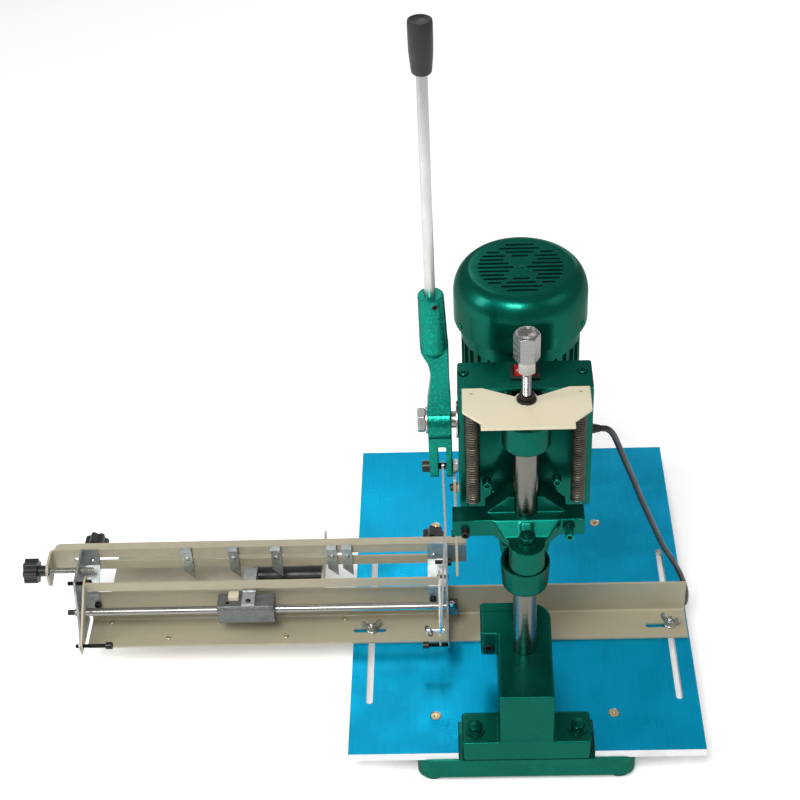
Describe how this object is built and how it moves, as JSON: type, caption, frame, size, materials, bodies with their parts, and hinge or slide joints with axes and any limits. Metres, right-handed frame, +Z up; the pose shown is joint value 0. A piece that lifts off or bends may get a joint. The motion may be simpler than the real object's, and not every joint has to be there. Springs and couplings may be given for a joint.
{
  "type": "paper drilling machine",
  "caption": "Bench paper drill with a hand lever, round column, return springs, motor on top and an indexing side gauge.",
  "frame": {"origin": "on the bench, at the middle of the machine's footprint without its mains lead", "axes": "+Z up, +Y towards the operator's side, +X away from the side gauge"},
  "size_m": [0.8387, 0.542, 0.929],
  "materials": {
    "green_paint": "glossy hammered enamel",
    "film_covered_aluminium": "blue protective film on brushed plate",
    "beige_paint": "satin powder coat",
    "bright_steel": "turned and polished",
    "zinc_plate": "dull zinc plate",
    "black_steel": "black oxide",
    "black_plastic": "moulded",
    "red_plastic": "gloss",
    "white_plastic": "matt"
  },
  "bodies": {
    "frame": {"base": "green_paint", "table": "film_covered_aluminium", "cutting_pad": "white_plastic", "column_block": "green_paint", "clamp_bolt": "black_steel", "foot_bolt_left": "green_paint", "foot_bolt_right": "green_paint", "column": "bright_steel", "spring_plate": "beige_paint", "top_stud": "bright_steel", "plate_nut": "black_steel", "lock_nut": "bright_steel", "long_nut": "bright_steel", "spring_left": "black_steel", "spring_right": "black_steel", "power_cord": "black_plastic", "cord_coil": "black_plastic", "plug": "black_plastic"},
    "head": {"head_casting": "green_paint", "yoke": "green_paint", "nose_bolt": "green_paint", "switch_cover": "green_paint", "rocker_bezel": "black_plastic", "motor_body": "green_paint", "fan_cover": "green_paint", "trip_strip": "beige_paint", "cord_gland": "black_plastic"},
    "switch": {"rocker": "red_plastic"},
    "spindle": {"spindle_shaft": "bright_steel", "drill_chuck": "bright_steel", "hollow_drill": "bright_steel", "cooling_fan": "black_plastic"},
    "lever": {"pinion_shaft": "bright_steel", "pivot_bolt": "bright_steel", "lever_casting": "green_paint", "lever_rod": "bright_steel", "lever_grip": "black_plastic", "clevis_bolt": "black_steel", "clevis_nut": "bright_steel"},
    "link": {"link_bar": "bright_steel"},
    "fence": {"fence": "beige_paint", "end_plate_left": "zinc_plate", "end_plate_right": "zinc_plate", "guide_rod": "bright_steel", "stop_plate": "beige_paint", "rest_bar": "black_plastic"},
    "clamp_left": {"wing_nut_left": "bright_steel"},
    "clamp_right": {"wing_nut_right": "bright_steel"},
    "carriage": {"slider_block": "zinc_plate", "slider_bracket": "zinc_plate"},
    "bail": {"bail": "beige_paint"},
    "rail": {"rail": "beige_paint"},
    "feed_screw": {"rail_knob": "black_plastic"},
    "lock_left": {"lock_knob_left": "black_plastic"},
    "lock_right": {"lock_knob_right": "black_plastic"},
    "stop_1": {"stop_1": "zinc_plate"},
    "stop_2": {"stop_2": "zinc_plate"},
    "stop_3": {"stop_3": "zinc_plate"},
    "stop_4": {"stop_4": "zinc_plate"},
    "stop_5": {"stop_5": "zinc_plate"}
  },
  "joints": [
    {"name": "head_slide", "type": "slide", "parent": "frame", "child": "head", "axis": [0, 0, -1], "range_m": [0, 0.055], "stiffness_N_per_m": 3600, "springref_m": -0.11, "deforming": ["spring_left", "spring_right"]},
    {"name": "lever_turn", "type": "hinge", "parent": "head", "child": "lever", "pos_m": [0.1145, -0.1527, 0.462], "axis": [-1, 0, 0], "range_deg": [0, 115]},
    {"name": "link_swing", "type": "hinge", "parent": "lever", "child": "link", "pos_m": [0.1142, -0.1527, 0.396], "axis": [-1, 0, 0], "range_deg": [-115, 0]},
    {"name": "spindle_spin", "type": "hinge", "parent": "head", "child": "spindle", "pos_m": [0.2045, -0.029, 0.3], "axis": [0, 0, 1], "continuous": true},
    {"name": "switch_rock", "type": "hinge", "parent": "head", "child": "switch", "pos_m": [0.2045, -0.1436, 0.515], "axis": [0, 1, 0], "range_deg": [-6, 6]},
    {"name": "fence_slide", "type": "slide", "parent": "frame", "child": "fence", "axis": [0, 1, 0], "range_m": [-0.018, 0.008]},
    {"name": "clamp_left_turn", "type": "hinge", "parent": "fence", "child": "clamp_left", "pos_m": [0.0175, -0.074, 0.06], "axis": [0, 0, 1], "continuous": true},
    {"name": "clamp_right_turn", "type": "hinge", "parent": "fence", "child": "clamp_right", "pos_m": [0.3915, -0.074, 0.06], "axis": [0, 0, 1], "continuous": true},
    {"name": "carriage_slide", "type": "slide", "parent": "fence", "child": "carriage", "axis": [1, 0, 0], "range_m": [-0.14, 0.07]},
    {"name": "bail_swing", "type": "hinge", "parent": "fence", "child": "bail", "pos_m": [-0.1155, -0.067, 0.139], "axis": [-1, 0, 0], "range_deg": [0, 18]},
    {"name": "rail_adjust", "type": "slide", "parent": "fence", "child": "rail", "axis": [1, 0, 0], "range_m": [-0.01, 0.01]},
    {"name": "feed_screw_turn", "type": "hinge", "parent": "rail", "child": "feed_screw", "pos_m": [-0.3955, -0.039, 0.134], "axis": [1, 0, 0], "range_deg": [-2900, 2900]},
    {"name": "lock_left_turn", "type": "hinge", "parent": "fence", "child": "lock_left", "pos_m": [-0.3335, -0.001, 0.129], "axis": [0, 1, 0], "continuous": true},
    {"name": "lock_right_turn", "type": "hinge", "parent": "fence", "child": "lock_right", "pos_m": [0.0975, -0.001, 0.129], "axis": [0, 1, 0], "continuous": true},
    {"name": "stop_1_slide", "type": "slide", "parent": "rail", "child": "stop_1", "axis": [1, 0, 0], "range_m": [-0.06, 0.02]},
    {"name": "stop_2_slide", "type": "slide", "parent": "rail", "child": "stop_2", "axis": [1, 0, 0], "range_m": [-0.02, 0.012]},
    {"name": "stop_3_slide", "type": "slide", "parent": "rail", "child": "stop_3", "axis": [1, 0, 0], "range_m": [-0.02, 0.03]},
    {"name": "stop_4_slide", "type": "slide", "parent": "rail", "child": "stop_4", "axis": [1, 0, 0], "range_m": [-0.02, 0.002]},
    {"name": "stop_5_slide", "type": "slide", "parent": "rail", "child": "stop_5", "axis": [1, 0, 0], "range_m": [-0.002, 0.06]}
  ],
  "couplings": [
    {"joint": "lever_turn", "follows": "head_slide", "rad_per_m": 36.364},
    {"joint": "link_swing", "follows": "head_slide", "rad_per_m": -36.364},
    {"joint": "feed_screw_turn", "follows": "rail_adjust", "rad_per_m": 5026.5}
  ]
}
